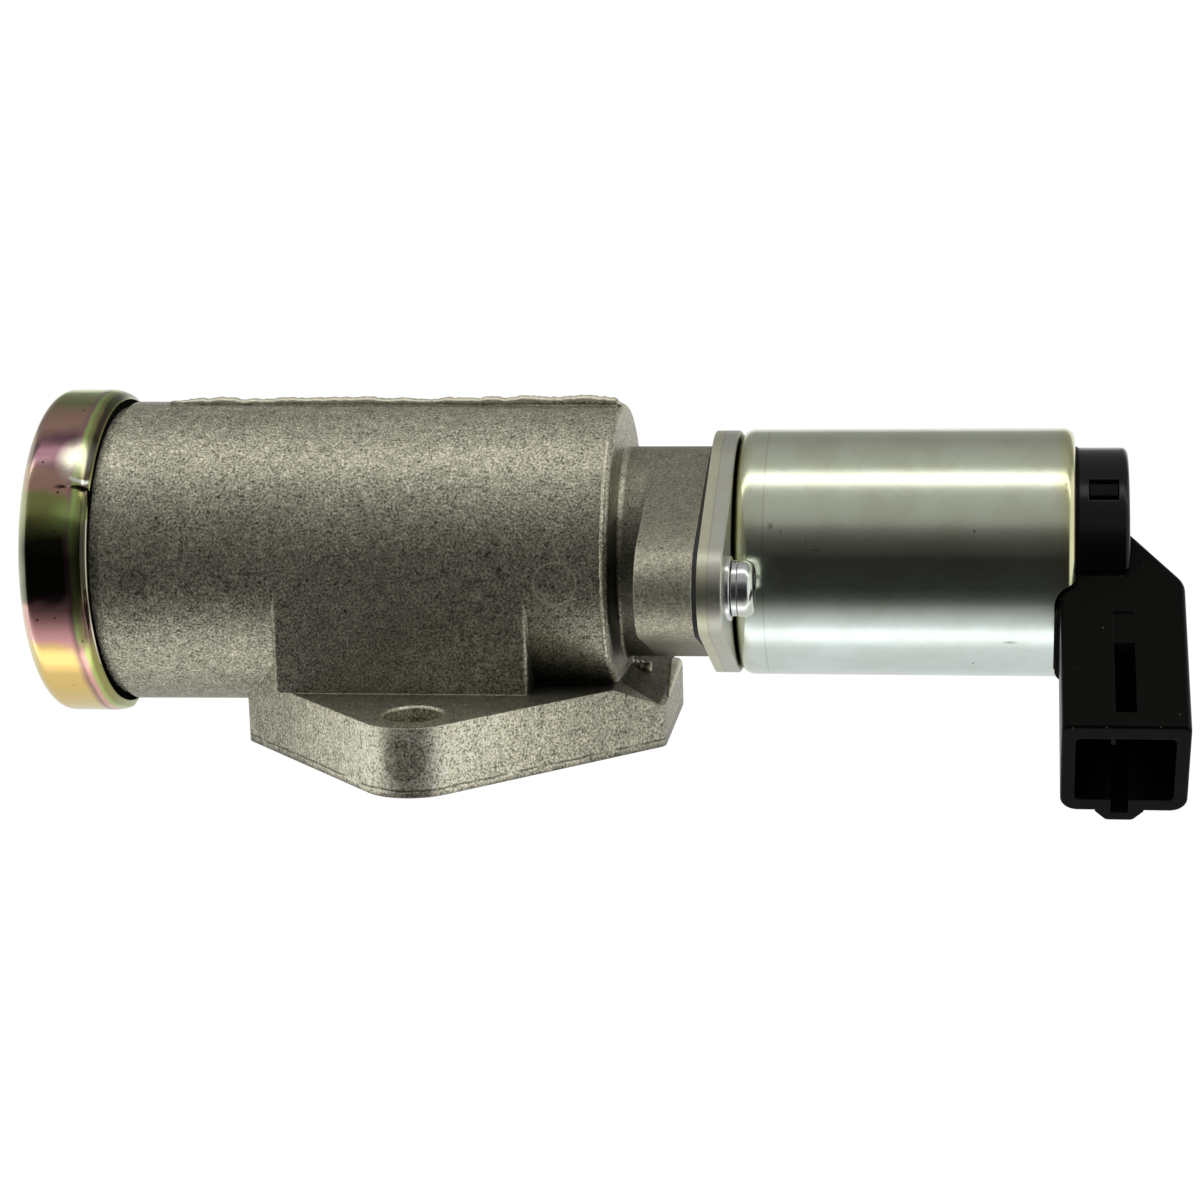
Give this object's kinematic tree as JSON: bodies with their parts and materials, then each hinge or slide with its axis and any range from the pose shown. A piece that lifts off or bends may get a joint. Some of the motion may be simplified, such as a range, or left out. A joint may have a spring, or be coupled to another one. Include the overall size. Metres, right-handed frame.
{
  "type": "idle air control valve",
  "caption": "Cylindrical die-cast air valve with a diamond bolt flange, a crimped metal end cap, and a solenoid with an angled plug socket that opens a sprung plunger.",
  "frame": {"origin": "on the flange's mounting face, midway between the two bolt holes", "axes": "+Z away from the mounting face, +X along the valve axis towards the connector"},
  "size_m": [0.1662, 0.0804, 0.0557],
  "materials": {
    "cast_aluminium": "grainy as-cast skin",
    "disc_aluminium": "turned",
    "yellow_zinc": "iridescent yellow chromate",
    "bright_zinc": "zinc plated",
    "can_zinc": "bright zinc plated, drawn",
    "steel": "turned",
    "bobbin_plastic": "moulded",
    "black_plastic": "moulded, satin",
    "copper": "enamelled wire",
    "bronze": "sintered",
    "tinned_brass": "tinned",
    "rubber": "moulded",
    "foam": "open-cell foam"
  },
  "bodies": {
    "housing": {"valve_body": "cast_aluminium", "end_cap": "yellow_zinc", "end_cap_seal": "rubber", "solenoid_gasket": "rubber", "mounting_plate": "bright_zinc", "plate_screws": "bright_zinc", "flat_washers": "bright_zinc", "spring_washers": "bright_zinc", "solenoid_can": "can_zinc", "front_pole": "steel", "rear_core": "steel", "coil_bobbin": "bobbin_plastic", "coil_winding": "copper", "front_bush": "bronze", "rear_bush": "bronze", "adjusting_screw": "steel", "return_spring": "steel", "connector_housing": "black_plastic", "terminal_blades": "tinned_brass", "vent_cap": "black_plastic", "vent_filter": "foam"},
    "plunger": {"armature": "steel", "valve_rod": "steel", "valve_disc": "disc_aluminium", "valve_seal": "rubber", "rod_clip": "steel"}
  },
  "joints": [
    {"name": "plunger_slide", "type": "slide", "parent": "housing", "child": "plunger", "axis": [1, 0, 0], "range_m": [0, 0.004], "stiffness_N_per_m": 600, "springref_m": -0.004, "deforming": ["return_spring"]}
  ]
}
